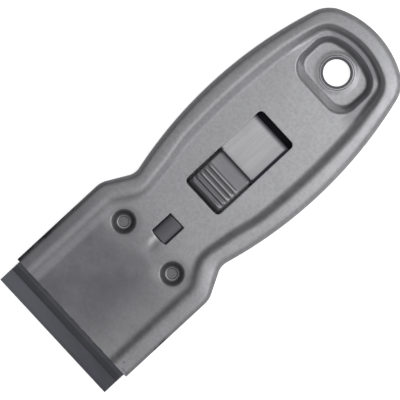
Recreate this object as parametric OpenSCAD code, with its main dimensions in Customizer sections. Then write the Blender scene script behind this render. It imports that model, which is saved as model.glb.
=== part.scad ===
// Retractable single-edge blade scraper for ceramic hobs.
// Two pressed steel shells, riveted, hold a carrier that slides the blade out of the mouth.
// X runs across the tool, Y along it from the blade to the hanging hole, Z out of the front face.
// Lengths along Y are given from the mouth of the shells, where the blade comes out.

/* [Blade] */
// Length of the cutting edge of the standard blade
blade_w = 38.1; // [34:0.1:44]
// Depth from the cutting edge to the back of the spine
blade_d = 17.5; // [16:0.1:18.4]
// Thickness of the blade
blade_t = 0.25; // [0.2:0.01:0.4]
// Width of the ground bevel along the edge
bevel_w = 0.9; // [0.4:0.1:2]
// How far the edge stands out of the mouth at work
blade_out = 6.7; // [6:0.1:8]
// Width of the folded spine
spine_w = 4.8; // [4:0.1:5.4]
// Thickness of the spine's metal
spine_t = 0.35; // [0.25:0.05:0.45]
// Width of the notch in each end of the blade
notch_w = 2; // [1.4:0.1:2.4]
// Depth of the notch in each end of the blade
notch_d = 1.3; // [0.9:0.1:1.8]

/* [Shells] */
// Length of the shells from the mouth to the far end
body_l = 103.2; // [101:0.1:112]
// Width of the handle at its widest
handle_w = 38.6; // [36:0.1:42]
// Distance of the widest place from the mouth
widest_y = 64.7; // [61:0.1:68]
// Width of the neck before its corners are rounded
neck_w = 31.1; // [29.6:0.1:33]
// Distance of the shoulder corner from the mouth
shoulder_y = 28; // [26:0.1:29.5]
// Slant of the shoulder from the length
shoulder_a = 28.5; // [25:0.5:34]
// Radius of the shoulder corner
shoulder_r = 6; // [4:0.1:8]
// Radius of the neck corner
neck_r = 4.5; // [3.5:0.1:8]
// Radius of the corners of the far end
corner_r = 8.5; // [7.6:0.1:10]
// Radius of the far end
end_r = 24; // [22.5:0.1:28]
// Thickness of the shell steel
sheet = 0.6; // [0.5:0.05:0.7]
// Space between the shells
cavity_h = 4.8; // [4.6:0.1:6]
// Height of the rim bead over the front panel
bead_h = 1.4; // [1:0.1:2]
// Radius of the outer roll of the rim
roll_r = 1.8; // [1.2:0.1:2.2]
// Width of the slope from the bead down to the panel
slope_w = 2.8; // [2:0.1:3]
// Width of the rim at the blade end
rim_holder = 6.4; // [6:0.1:7]
// Width of the rim at the neck
rim_neck = 5.9; // [5.6:0.1:6.4]
// Width of the rim at the widest place
rim_side = 6.9; // [6.4:0.1:7.2]
// Width of the rim at the far end
rim_end = 5.6; // [5.2:0.1:6]
// Radius of the panel at the shoulder
panel_shoulder_r = 3; // [2:0.1:5]
// Radius of the panel at its far corners
panel_corner_r = 4; // [3:0.1:5]
// Height of the back shell's side wall
tray_h = 2.4; // [1.6:0.1:3.4]

/* [Openings] */
// Distance of the button slot from the mouth
slot_y = 43.5; // [42:0.1:45]
// Length of the button slot
slot_l = 25.9; // [25.4:0.1:28]
// Width of the button slot
slot_w = 12.1; // [11.6:0.1:13]
// Radius of the slot's corners
slot_r = 1.2; // [0.6:0.1:2]
// Distance of the latch window from the mouth
window_y = 29; // [28.6:0.1:30]
// Length of the latch window
window_l = 6.5; // [5.6:0.1:7]
// Width of the latch window
window_w = 5; // [4.4:0.1:5.8]
// Bow of the window's end on the blade side
window_bow = 0.4; // [0.2:0.05:0.6]

/* [Hanging hole] */
// Distance of the hole from the far end
hole_from_end = 13.8; // [13.4:0.1:14.4]
// Diameter of the hole through the eyelet
hole_d = 6.8; // [5.6:0.1:7.4]
// Wall of the eyelet
eyelet_t = 0.5; // [0.4:0.05:0.7]
// Reach of the eyelet's rolled flange past its barrel
eyelet_flange = 0.5; // [0.3:0.05:0.7]
// Width of the pocket's floor
pocket_w = 16.2; // [14:0.1:16.8]
// Length of the pocket's floor
pocket_l = 10.5; // [9.4:0.1:11]
// Distance of the pocket's floor from the far end
pocket_from_end = 8.6; // [8.2:0.1:9]
// Radius of the pocket floor's corners
pocket_r = 2.8; // [2:0.1:3.6]
// Run of the pocket's side walls
pocket_side = 2.2; // [1.6:0.1:2.4]
// Run of the pocket's wall on the blade side
pocket_front = 3; // [2:0.1:3.6]
// Run of the pocket's wall at the far end
pocket_back = 2.7; // [2:0.1:2.9]

/* [Rivets] */
// Distance between the two rivets that join the shells
rivet_pitch = 17.6; // [17.2:0.1:19]
// Distance of the rivets from the mouth
rivet_y = 25.6; // [25.2:0.1:26.4]
// Diameter of the rivet shank
rivet_d = 2.6; // [2:0.1:3]
// Diameter of the rivet head
rivet_head_d = 3.6; // [3.2:0.1:4]
// Height of the rivet head
rivet_head_h = 0.5; // [0.3:0.05:0.8]
// Diameter of the dimple round each rivet
dimple_d = 5.9; // [5.4:0.1:6.4]
// Diameter of the dimple's floor
dimple_floor_d = 4.2; // [4.1:0.1:4.6]
// Wall of the dimple, thinned by the pressing
dimple_t = 0.45; // [0.35:0.05:0.55]

/* [Carrier] */
// Thickness of the carrier's steel
plate_t = 0.8; // [0.6:0.05:0.9]
// Thickness of the blade clamp's steel
clamp_t = 0.6; // [0.5:0.05:0.7]
// Width of the blade left bare by the clamp
bare_w = 3.9; // [3.4:0.1:4.4]
// Length of the sloping nose of the clamp
nose_l = 1.4; // [1:0.1:2]
// Setback of the carrier's end behind the clamp's nose
plate_setback = 0.5; // [0.2:0.1:1]
// Length of the step from the blade seat down to the carrier's flat
joggle_l = 0.6; // [0.5:0.05:0.9]
// Blade left between its notches and its spine
notch_land = 0.5; // [0.2:0.1:1]
// Thickness of the clamp's front edge
lip_t = 0.15; // [0.1:0.05:0.3]
// Run of the clamp's drop behind the spine
clamp_drop_l = 0.9; // [0.6:0.1:1.2]
// Length of the clamp's tab behind the blade
clamp_tab_l = 7; // [6:0.1:8]
// Distance of the clamp's rivets from the back of the blade
clamp_rivet_back = 4.2; // [3.6:0.1:4.6]
// Length of the carrier's raised seat for the latch spring
tail_seat_l = 9; // [8:0.1:9.5]
// Run of the rise up to that seat
rise_l = 3.5; // [2.5:0.1:4]
// Distance of the spring's rivets from the carrier's far end
spring_rivet_back = 4; // [3:0.1:5]
// Diameter of the small rivets' heads
small_head_d = 2.6; // [2.2:0.1:2.8]
// Height of the small rivets' heads
small_head_h = 0.4; // [0.3:0.05:0.45]
// Width of the carrier's neck between the rivets
plate_neck_w = 10; // [8.6:0.1:10.2]
// Width of the carrier behind the rivets
plate_tail_w = 18.6; // [17.6:0.1:20]
// Distance of the carrier's far end from the slot's far end
tail_gap = 2.2; // [1.8:0.1:3]
// Distance between the two rivets of the blade clamp
clamp_rivet_pitch = 6; // [5.2:0.1:6.4]
// Shank diameter of the carrier's small rivets
small_rivet_d = 1.6; // [1.2:0.1:2]
// Distance between the two rivets of the latch spring
spring_rivet_pitch = 15.4; // [15:0.1:15.6]

/* [Latch] */
// Thickness of the latch spring
spring_t = 0.5; // [0.4:0.05:0.55]
// Width of the spring under the window
spring_nose_w = 7.8; // [7:0.1:9]
// Width of the spring under the button
spring_mid_w = 11.2; // [10.8:0.1:11.6]
// Gap between the latch spring and the front panel
spring_gap = 0.7; // [0.6:0.05:0.9]
// Depth of the latch bump's top under the panel's face
bump_sink = 0.1; // [0:0.05:0.3]
// Radius of the latch bump's crown
bump_r = 5; // [4:0.1:10]
// Distance of the spring's end from the window, on the blade side
spring_lead = 0.3; // [0.1:0.05:0.6]
// Length over which the spring widens
spring_flare = 2; // [1:0.1:3]

/* [Button] */
// Width of the thumb button
button_w = 10.5; // [9.6:0.1:11]
// Length of the thumb button
button_l = 12; // [11.4:0.1:12.4]
// Height of the button over the front panel
button_h = 1.9; // [1.5:0.1:2.6]
// Wall of the pressed button
button_t = 0.7; // [0.5:0.05:0.9]
// Number of grip ribs
ribs = 5; // [3:1:6]
// Distance from rib to rib
rib_pitch = 1.45; // [1.2:0.05:1.6]
// Radius of a rib
rib_r = 0.55; // [0.4:0.05:0.6]
// Run of the button's sloping front
front_run = 1.1; // [0.8:0.1:1.4]
// Roundness of the button's far end
round_r = 1.2; // [0.8:0.1:1.6]
// Height of the ribs over the button's top
rib_h = 0.2; // [0.1:0.05:0.3]
// Width of the two tabs that hold the button on the spring
tab_w = 3; // [2:0.1:4]
// Distance of each tab from the button's end
tab_inset = 3; // [2.2:0.1:3.4]
// Length of the foot that each tab is folded into
foot_l = 1.3; // [0.8:0.1:2]
// Thickness of the folded foot
foot_t = 0.45; // [0.3:0.05:0.6]

/* [Fits] */
// Sliding gap at each side of the blade
side_gap = 0.15; // [0.1:0.01:0.3]
// Sliding gap between the carrier and the back shell
glide_gap = 0.2; // [0.1:0.01:0.3]
// Gap between pieces that nest without sliding
nest_gap = 0.05; // [0.02:0.01:0.1]
// Gap left at the end stops of the slide
stop_gap = 0.24; // [0.2:0.01:0.3]
// Gap round the latch bump in its window
latch_gap = 0.2; // [0.15:0.01:0.3]

/* [Hidden] */
$fn = 48;

// Greatest distance between a round outline and its chords
chord = 0.04;
// Length by which a straight cut runs past what it cuts
past = 1;
// Length by which a tapered cut starts outside the face it is cut into
overcut = 0.02;
// Thickness of the two plates between which the pocket's block is drawn
slab = 0.02;
// Sides of the round corners that such a block is drawn from
block_fn = 32;
// Angle from ring to ring round the roll of the rim
roll_step = 18;

// Heights over the back face
panel_z = 2 * sheet + cavity_h;
ceiling_z = panel_z - sheet;
bead_z = panel_z + bead_h;
mid_z = panel_z / 2;
plate_z = sheet + glide_gap;
plate_top_z = plate_z + plate_t;
blade_z = plate_top_z + spine_t + nest_gap;
blade_top_z = blade_z + blade_t;
spring_top_z = ceiling_z - spring_gap;
spring_z = spring_top_z - spring_t;
bump_z = panel_z - bump_sink;
button_z = panel_z + button_h;

// Plan of the shells
holder_w = blade_w + 2 * (side_gap + sheet);
middle_y = (body_l - blade_out) / 2;
hole_y = body_l - hole_from_end;

// Carrier, along Y from the mouth
edge_y = -blade_out;
clamp_y = edge_y + bare_w;
plate_y = clamp_y + plate_setback;
spine_y = edge_y + blade_d - spine_w;
head_end_y = edge_y + blade_d;
head_w = blade_w - 2 * side_gap;
tail_y = slot_y + slot_l - tail_gap;
button_y = slot_y + stop_gap;
nib_y = spine_y - notch_w - notch_land;
clamp_rivet_y = head_end_y + clamp_rivet_back;
tail_seat_y = tail_y - tail_seat_l;
spring_rivet_y = tail_y - spring_rivet_back;
spring_y = window_y - spring_lead;
bump_y = window_y + latch_gap;
bump_l = window_l - 2 * latch_gap;
bump_w = window_w - 2 * latch_gap;

// The carrier's head stops at the rivet dimples, whose outsides taper toward the middle
dimple_taper = (dimple_d - dimple_floor_d) / 2 / (mid_z - sheet);
boss_r = dimple_d / 2 + dimple_t - dimple_taper * plate_z;
slide_travel = rivet_y - boss_r - stop_gap - head_end_y;
echo(slide_travel = slide_travel, middle_y = middle_y, bead_z = bead_z, hole_y = hole_y);

module seated() {
    translate([0, -middle_y, 0]) children();
}

// Direction of the line from one point to another
function heading(p, q) = atan2(q[1] - p[1], q[0] - p[0]);
function on_circle(c, r, a) = [c[0] + r * cos(a), c[1] + r * sin(a)];
function steps(r, sweep) = max(2, ceil(abs(sweep) / (2 * acos(1 - chord / r))));

// One side of the plan outline as tangent arcs, [centre, radius, first angle, last angle, bend].
// The bend is 1 where the outline turns round a centre inside it and -1 at the neck.
// Straight stretches join the arcs. The far end's arc finishes on the centreline.
function outline(holder, neck, wide, corner_y, end_y, rs, rn, rc, re) =
    let (
        a = shoulder_a,
        neck_y = corner_y + (holder - neck) / tan(a),
        rise = widest_y - neck_y,
        side_r = (rise * rise + pow(wide - neck, 2)) / (2 * (wide - neck)),
        side_c = [wide - side_r, widest_y],
        inward = [-cos(a), -sin(a)],
        along = [-sin(a), cos(a)],
        shoulder_c = [holder - rs, corner_y - rs * tan(a / 2)],
        off = [holder, corner_y] - rn * inward - side_c,
        half_b = off * along,
        s = -half_b - sqrt(half_b * half_b - off * off + pow(side_r + rn, 2)),
        neck_c = [holder, corner_y] - rn * inward + s * along,
        end_c = [0, end_y - re],
        gap = end_c - side_c,
        span = norm(gap),
        r1 = side_r - rc,
        r2 = re - rc,
        a1 = (r1 * r1 - r2 * r2 + span * span) / (2 * span),
        h = sqrt(r1 * r1 - a1 * a1),
        corner_c = side_c + a1 * gap / span + h * [-gap[1], gap[0]] / span,
        side_to = heading(side_c, corner_c),
        end_from = heading(end_c, corner_c)
    )
    [
        [shoulder_c, rs, 0, a, 1],
        [neck_c, rn, 180 + a, 180 + heading(side_c, neck_c), -1],
        [side_c, side_r, heading(side_c, neck_c), side_to, 1],
        [corner_c, rc, side_to, end_from, 1],
        [end_c, re, end_from, 90, 1]
    ];

rim_path = outline(
    holder_w / 2, neck_w / 2, handle_w / 2, shoulder_y, body_l,
    shoulder_r, neck_r, corner_r, end_r
);
panel_path = outline(
    holder_w / 2 - rim_holder, neck_w / 2 - rim_neck, handle_w / 2 - rim_side,
    shoulder_y - rim_holder * tan(shoulder_a / 2), body_l - rim_end,
    panel_shoulder_r, neck_r + rim_neck, panel_corner_r, end_r - rim_end
);

// Steps along each arc, the same on both outlines so that their points pair up
arc_steps = [for (arc = rim_path) steps(arc[1], arc[3] - arc[2])];

// Start and radius of an arc after the outline is moved inward
function arc_r(arc, inset) = arc[1] - arc[4] * inset;
function arc_from(arc, inset) = on_circle(arc[0], arc_r(arc, inset), arc[2]);
function arc_points(arc, inset, first, n) =
    [for (i = [first:n]) on_circle(arc[0], arc_r(arc, inset), arc[2] + (arc[3] - arc[2]) * i / n)];
// Only the first two arcs have a straight before them: each of the others starts where the last one ends
function half_points(path, inset, from_y) = concat(
    [[arc_from(path[0], inset)[0], from_y]],
    [for (k = [0:len(path) - 1], p = arc_points(path[k], inset, k < 2 ? 0 : 1, arc_steps[k])) p]
);

module plan(path, inset = 0, from_y = 0) {
    half = half_points(path, inset, from_y);
    n = len(half);
    polygon(concat(half, [for (i = [1:n - 1]) [-half[n - 1 - i][0], half[n - 1 - i][1]]]));
}

// One ring of points round a shell at one height, from the mouth's right corner to its left one
function ring(row) =
    let (
        half = half_points(row[0], row[1], 0),
        n = len(half)
    )
    [
        for (i = [0:2 * n - 2], p = [half[min(i, 2 * n - 2 - i)]])
            [i < n ? p[0] : -p[0], p[1], row[2]]
    ];

// Rows of the pressed sheet, [outline, inset, height]: side wall, outer roll, bead top, slope, panel edge
function sheet_rows(depth) =
    let (
        c = [roll_r, bead_z - roll_r],
        r = roll_r - depth
    )
    concat(
        [[rim_path, depth, 0]],
        [for (a = [180:-roll_step:90], p = [on_circle(c, r, a)]) [rim_path, p[0], p[1]]],
        [[panel_path, -slope_w, bead_z - depth], [panel_path, 0, panel_z - depth]]
    );

// The front shell's side wall, bead and slope: one band of sheet round the panel, open at the mouth
module rim_band() {
    outer = sheet_rows(0);
    inner = sheet_rows(sheet);
    rows = len(outer);
    rings = concat([for (row = outer) ring(row)], [for (i = [1:rows]) ring(inner[rows - i])]);
    count = len(rings);
    n = len(rings[0]);
    polyhedron(
        points = [for (r = rings, p = r) p],
        faces = concat(
            [
                for (k = [0:count - 1], i = [0:n - 2])
                    let (a = k * n + i, b = ((k + 1) % count) * n + i)
                    each [[a, b, a + 1], [a + 1, b, b + 1]]
            ],
            [[for (k = [1:count]) (count - k) * n]],
            [[for (k = [0:count - 1]) k * n + n - 1]]
        )
    );
}

module rounded(w, l, r) {
    for (x = [-1, 1], y = [0, 1])
        translate([x * (w / 2 - r), r + y * (l - 2 * r)]) circle(r);
    translate([-w / 2 + r, 0]) square([w - 2 * r, l]);
    translate([-w / 2, r]) square([w, l - 2 * r]);
}

module slot_cut() {
    translate([0, slot_y, ceiling_z - past])
        linear_extrude(sheet + 2 * past) rounded(slot_w, slot_l, slot_r);
}

module window_cut() {
    bow_r = (window_w * window_w / 4 + window_bow * window_bow) / (2 * window_bow);
    translate([0, window_y, ceiling_z - past])
        linear_extrude(sheet + 2 * past) {
            translate([-window_w / 2, 0]) square([window_w, window_l]);
            intersection() {
                translate([0, bow_r - window_bow]) circle(bow_r, $fn = 96);
                translate([-window_w / 2, -window_bow]) square([window_w, 2 * window_bow]);
            }
        }
}

// Plan of the hanging pocket: straight on the blade side, and round like the far end of the shells
module pocket_plan(front, side, back, r) {
    x = pocket_w / 2 + side - r;
    arc_c = body_l - end_r;
    arc = end_r - pocket_from_end + back - r;
    for (t = [-1, 1])
        translate([t * x, body_l - pocket_from_end - pocket_l - front + r]) circle(r, $fn = block_fn);
    for (t = [-1:0.5:1])
        translate([t * x, arc_c + sqrt(arc * arc - t * t * x * x)]) circle(r, $fn = block_fn);
}

// Block of the pocket, from its floor up to its mouth
module pocket_block(floor_z, mouth_z, grow) {
    hull() {
        translate([0, 0, floor_z])
            linear_extrude(slab) pocket_plan(grow, grow, grow, pocket_r + grow);
        translate([0, 0, mouth_z])
            linear_extrude(slab)
                pocket_plan(
                    pocket_front + grow, pocket_side + grow, pocket_back + grow,
                    pocket_r + pocket_side + grow
                );
    }
}

// Places its children at both shell rivets
module at_rivets() {
    for (x = [-1, 1]) translate([x * rivet_pitch / 2, rivet_y, 0]) children();
}

// Outside and inside of the dimple that one shell brings to the middle, drawn upward from its face
module dimple_outside() {
    r = dimple_d / 2 + dimple_t;
    root = sheet / 2;
    translate([0, 0, root])
        cylinder(h = mid_z - root, r1 = r - dimple_taper * root, r2 = r - dimple_taper * mid_z);
}

module dimple_inside() {
    translate([0, 0, -overcut])
        cylinder(h = mid_z - sheet + overcut, r1 = dimple_d / 2, r2 = dimple_floor_d / 2);
}

module front_shell() {
    color("#9a9aa0") seated() {
        difference() {
            union() {
                rim_band();
                translate([0, 0, ceiling_z]) linear_extrude(sheet) plan(panel_path);
                pocket_block(sheet * 2, ceiling_z, sheet);
                translate([0, 0, panel_z]) mirror([0, 0, 1]) at_rivets() dimple_outside();
            }
            slot_cut();
            window_cut();
            pocket_block(sheet * 3, panel_z, 0);
            translate([0, 0, panel_z]) mirror([0, 0, 1]) at_rivets() dimple_inside();
            at_rivets() cylinder(h = bead_z, d = rivet_d + 2 * nest_gap);
            translate([0, hole_y, 0]) cylinder(h = bead_z, d = hole_d + 2 * (eyelet_t + nest_gap));
        }
    }
}

module back_shell() {
    wall_in = sheet + nest_gap;
    ring_r = hole_d / 2 + eyelet_t + eyelet_flange + sheet;
    color("#8f9095") seated() {
        difference() {
            union() {
                linear_extrude(sheet) plan(rim_path, wall_in);
                intersection() {
                    linear_extrude(tray_h)
                        difference() {
                            plan(rim_path, wall_in);
                            plan(rim_path, wall_in + sheet, -past);
                        }
                    translate([-handle_w, rivet_y, 0]) cube([2 * handle_w, body_l, tray_h]);
                }
                at_rivets() dimple_outside();
                translate([0, hole_y, 0]) cylinder(h = 2 * sheet, r = ring_r + sheet);
            }
            at_rivets() dimple_inside();
            at_rivets() cylinder(h = panel_z, d = rivet_d + 2 * nest_gap);
            translate([0, hole_y, -past]) cylinder(h = sheet + past, r = ring_r);
            translate([0, hole_y, 0]) cylinder(h = panel_z, d = hole_d + 2 * (eyelet_t + nest_gap));
        }
    }
}

// Rivet that joins the shells, with its chamfered head in the front dimple
module shell_rivet(side) {
    low = mid_z - sheet;
    high = mid_z + sheet;
    chamfer = rivet_head_h / 2;
    color("#85858b") seated()
        translate([side * rivet_pitch / 2, rivet_y, 0])
            rotate_extrude()
                polygon([
                    [0, low - rivet_head_h], [rivet_head_d / 2, low - rivet_head_h], [rivet_head_d / 2, low],
                    [rivet_d / 2, low], [rivet_d / 2, high], [rivet_head_d / 2, high],
                    [rivet_head_d / 2, high + rivet_head_h - chamfer],
                    [rivet_head_d / 2 - chamfer, high + rivet_head_h], [0, high + rivet_head_h]
                ]);
}

module left_rivet() {
    shell_rivet(-1);
}

module right_rivet() {
    shell_rivet(1);
}

// Tube through both shells, rolled over at its ends
module hang_eyelet() {
    low = sheet;
    high = 3 * sheet;
    r = hole_d / 2;
    barrel_r = r + eyelet_t;
    flange_r = barrel_r + eyelet_flange;
    roll = eyelet_t - nest_gap;
    color("#7d7e84") seated()
        translate([0, hole_y, 0])
            rotate_extrude()
                polygon([
                    [r, low - roll / 2], [r + roll / 2, low - roll], [flange_r, low - roll], [flange_r, low],
                    [barrel_r, low], [barrel_r, high], [flange_r, high], [flange_r, high + roll / 2],
                    [flange_r - roll / 2, high + roll], [r + roll / 2, high + roll], [r, high + roll / 2]
                ]);
}

// Carries a side view, drawn as [Y, Z], across the given width
module across(w) {
    translate([-w / 2, 0, 0]) rotate([90, 0, 90]) linear_extrude(w) children();
}

// Closed side view of a sheet: its lower line, and the same line raised by the thickness
module sheet_side(line, t) {
    n = len(line);
    polygon(concat(line, [for (i = [1:n]) line[n - i] + [0, t]]));
}

// Shank of a rivet of the blade clamp, countersunk below; also cuts its hole, grown by a gap
module clamp_rivet_shape(side, grow) {
    r = small_rivet_d / 2 + grow;
    sink = plate_t - 2 * nest_gap;
    top = plate_top_z + clamp_t + grow;
    translate([side * clamp_rivet_pitch / 2, clamp_rivet_y, 0])
        rotate_extrude()
            polygon([
                [0, plate_z - grow], [r + sink, plate_z - grow], [r + sink, plate_z],
                [r, plate_z + sink], [r, top], [0, top]
            ]);
}

module slide_plate() {
    raised = blade_z - plate_t;
    seat_z = spring_z - plate_t;
    half_tail = plate_tail_w / 2;
    half_neck = plate_neck_w / 2;
    wide_y = rivet_y + dimple_d / 2 + dimple_t + stop_gap;
    nib_w = notch_w - 2 * nest_gap;
    nib_d = notch_d - side_gap - nest_gap;
    color("#a9a9ae") seated() {
        difference() {
            intersection() {
                across(head_w)
                    sheet_side([
                        [plate_y, raised], [spine_y - joggle_l - 2 * nest_gap, raised],
                        [spine_y - 2 * nest_gap, plate_z], [tail_seat_y - rise_l, plate_z],
                        [tail_seat_y, seat_z], [tail_y, seat_z]
                    ], plate_t);
                linear_extrude(panel_z)
                    polygon([
                        [-head_w / 2, plate_y], [head_w / 2, plate_y], [head_w / 2, head_end_y],
                        [half_neck, head_end_y], [half_neck, wide_y], [half_tail, wide_y],
                        [half_tail, tail_y], [-half_tail, tail_y], [-half_tail, wide_y],
                        [-half_neck, wide_y], [-half_neck, head_end_y], [-head_w / 2, head_end_y]
                    ]);
            }
            for (side = [-1, 1]) {
                clamp_rivet_shape(side, nest_gap);
                translate([side * spring_rivet_pitch / 2, spring_rivet_y, 0])
                    cylinder(h = panel_z, d = small_rivet_d + 2 * nest_gap);
            }
        }
        for (side = [-1, 1])
            translate([side * (head_w - nib_d) / 2 - nib_d / 2, nib_y + nest_gap, raised])
                cube([nib_d, nib_w, plate_t + blade_t]);
    }
}

// Sheet over the blade and its spine, with a tab riveted to the carrier
module blade_clamp() {
    over_z = blade_top_z + spine_t + nest_gap;
    tab_y = head_end_y + 2 * nest_gap;
    half_tab = plate_neck_w / 2 - nest_gap;
    color("#55565f") seated() {
        difference() {
            intersection() {
                across(head_w)
                    polygon([
                        [clamp_y, blade_top_z], [spine_y - joggle_l - nest_gap, blade_top_z],
                        [spine_y - 2 * nest_gap, over_z], [tab_y, over_z],
                        [tab_y + clamp_drop_l, plate_top_z], [tab_y + clamp_tab_l, plate_top_z],
                        [tab_y + clamp_tab_l, plate_top_z + clamp_t],
                        [tab_y + clamp_drop_l + clamp_t / 2, plate_top_z + clamp_t],
                        [tab_y + clamp_t / 2, over_z + clamp_t],
                        [spine_y - joggle_l, over_z + clamp_t],
                        [spine_y - 2 * joggle_l, blade_top_z + clamp_t],
                        [clamp_y + nose_l, blade_top_z + clamp_t], [clamp_y, blade_top_z + lip_t]
                    ]);
                linear_extrude(panel_z)
                    polygon([
                        [-head_w / 2, clamp_y], [head_w / 2, clamp_y], [head_w / 2, head_end_y],
                        [half_tab, head_end_y], [half_tab, tab_y + clamp_tab_l],
                        [-half_tab, tab_y + clamp_tab_l], [-half_tab, head_end_y], [-head_w / 2, head_end_y]
                    ]);
            }
            for (side = [-1, 1])
                clamp_rivet_shape(side, nest_gap);
        }
    }
}

// Countersunk below, headed above
module clamp_rivet(side) {
    color("#8c8d92") seated() {
        clamp_rivet_shape(side, 0);
        translate([side * clamp_rivet_pitch / 2, clamp_rivet_y, plate_top_z + clamp_t])
            cylinder(h = small_head_h, d = small_head_d);
    }
}

module left_clamp_rivet() {
    clamp_rivet(-1);
}

module right_clamp_rivet() {
    clamp_rivet(1);
}

module blade() {
    blade_end = head_end_y - spine_t;
    color("#4d4f58") seated() {
        difference() {
            across(blade_w)
                polygon([
                    [edge_y, blade_z + blade_t / 2], [edge_y + bevel_w, blade_z], [blade_end, blade_z],
                    [blade_end, blade_top_z], [edge_y + bevel_w, blade_top_z]
                ]);
            for (side = [-1, 1])
                translate([side * blade_w / 2 - notch_d, nib_y, blade_z - past])
                    cube([2 * notch_d, notch_w, blade_t + 2 * past]);
        }
    }
}

// Folded strip that stiffens the back of the blade
module blade_spine() {
    color("#b4b5ba") seated()
        across(blade_w)
            polygon([
                [spine_y, blade_z - spine_t], [head_end_y, blade_z - spine_t],
                [head_end_y, blade_top_z + spine_t], [spine_y, blade_top_z + spine_t],
                [spine_y, blade_top_z], [head_end_y - spine_t, blade_top_z],
                [head_end_y - spine_t, blade_z], [spine_y, blade_z]
            ]);
}

// Crowned block of the latch bump, as seen along Y
module bump_end(w, top) {
    crown_z = top - bump_r;
    intersection() {
        translate([0, crown_z]) circle(bump_r, $fn = 96);
        translate([-w / 2, spring_z]) square([w, top]);
    }
}

module latch_spring() {
    half_nose = spring_nose_w / 2;
    half_mid = spring_mid_w / 2;
    half_tail = plate_tail_w / 2;
    mid_y = slot_y;
    wide_y = button_y + button_l + spring_flare / 2;
    color("#b3b3b8") seated() {
        difference() {
            union() {
                translate([0, 0, spring_z])
                    linear_extrude(spring_t)
                        polygon([
                            [-half_nose, spring_y], [half_nose, spring_y], [half_nose, mid_y - spring_flare],
                            [half_mid, mid_y], [half_mid, wide_y - spring_flare], [half_tail, wide_y],
                            [half_tail, tail_y], [-half_tail, tail_y], [-half_tail, wide_y],
                            [-half_mid, wide_y - spring_flare], [-half_mid, mid_y],
                            [-half_nose, mid_y - spring_flare]
                        ]);
                translate([0, bump_y + bump_l, 0])
                    rotate([90, 0, 0]) linear_extrude(bump_l) bump_end(bump_w, bump_z);
            }
            translate([0, bump_y + bump_l - spring_t, -past])
                rotate([90, 0, 0])
                    linear_extrude(bump_l - 2 * spring_t)
                        translate([0, past]) {
                            bump_end(bump_w - 2 * spring_t, bump_z - spring_t);
                            translate([-bump_w / 2 + spring_t, spring_z - past])
                                square([bump_w - 2 * spring_t, 2 * past]);
                        }
            for (side = [-1, 1])
                translate([side * spring_rivet_pitch / 2, spring_rivet_y, 0])
                    cylinder(h = panel_z, d = small_rivet_d + 2 * nest_gap);
            at_tabs() tab_block(nest_gap, spring_z - past, spring_top_z + past);
        }
    }
}

module spring_rivet(side) {
    low = spring_z - plate_t;
    r = small_rivet_d / 2;
    head_r = small_head_d / 2;
    translate([side * spring_rivet_pitch / 2, spring_rivet_y, 0])
        rotate_extrude()
            polygon([
                [0, low - small_head_h], [head_r, low - small_head_h], [head_r, low],
                [r, low], [r, spring_top_z], [head_r, spring_top_z],
                [head_r, spring_top_z + small_head_h], [0, spring_top_z + small_head_h]
            ]);
}

module left_spring_rivet() {
    color("#8c8d92") seated() spring_rivet(-1);
}

module right_spring_rivet() {
    color("#8c8d92") seated() spring_rivet(1);
}

// The button's two tabs, one near each end, each folded toward the middle under the spring
module at_tabs() {
    translate([0, button_y + tab_inset, 0]) children();
    translate([0, button_y + button_l - tab_inset, 0]) mirror([0, 1, 0]) children();
}

module tab_block(grow, from_z, to_z) {
    translate([-tab_w / 2 - grow, -button_t / 2 - grow, from_z])
        cube([tab_w + 2 * grow, button_t + 2 * grow, to_z - from_z]);
}

// Side view of the button or, drawn smaller by its wall, of its hollow
module button_side(t, base_z) {
    top = button_z - t;
    fall = rib_r;
    from_y = button_y + t;
    to_y = button_y + button_l - t;
    polygon(concat(
        [[from_y, base_z], [to_y, base_z]],
        [for (a = [0:15:90]) on_circle([to_y - round_r, top - round_r], round_r, a)],
        [[from_y + front_run + rib_r, top - fall], [from_y + front_run, top - fall - rib_r]]
    ));
}

module thumb_button() {
    first_rib = button_y + front_run + rib_r;
    rib_z = button_z - 2 * rib_r + rib_h;
    slant = rib_r / (button_l - round_r - front_run - rib_r);
    color("#77787f") seated() {
        difference() {
            across(button_w) {
                button_side(0, spring_top_z);
                for (i = [0:ribs - 1])
                    translate([first_rib + i * rib_pitch, rib_z + slant * i * rib_pitch])
                        circle(rib_r);
            }
            across(button_w - 2 * button_t) button_side(button_t, spring_top_z - past);
        }
        at_tabs() {
            tab_block(0, spring_z - foot_t, button_z - button_t);
            translate([-tab_w / 2, -button_t / 2, spring_z - foot_t])
                cube([tab_w, button_t + foot_l, foot_t]);
        }
    }
}

front_shell();
back_shell();
left_rivet();
right_rivet();
hang_eyelet();
slide_plate();
blade_clamp();
left_clamp_rivet();
right_clamp_rivet();
blade();
blade_spine();
latch_spring();
left_spring_rivet();
right_spring_rivet();
thumb_button();
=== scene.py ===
"""Finishes a pressed-steel hob scraper around its frame: shells, carrier, latch, steel and stage."""

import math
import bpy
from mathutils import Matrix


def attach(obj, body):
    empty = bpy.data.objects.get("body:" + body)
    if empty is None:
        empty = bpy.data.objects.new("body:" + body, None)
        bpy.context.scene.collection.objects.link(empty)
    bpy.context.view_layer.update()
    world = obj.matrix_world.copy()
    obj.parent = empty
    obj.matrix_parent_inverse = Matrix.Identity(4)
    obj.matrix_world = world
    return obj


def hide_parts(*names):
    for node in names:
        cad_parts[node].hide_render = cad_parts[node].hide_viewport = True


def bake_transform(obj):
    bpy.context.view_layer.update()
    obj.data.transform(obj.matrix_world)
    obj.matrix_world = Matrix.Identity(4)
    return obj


bl_info = {
    "name": "Hob Scraper",
    "version": (1, 0, 0),
    "blender": (4, 5, 0),
    "location": "3D View > Sidebar > Scraper",
    "description": "Models and finishes a retractable blade scraper, piece by piece, around its frame",
    "category": "Object",
}

import bmesh
import bpy
from mathutils import Vector

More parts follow.
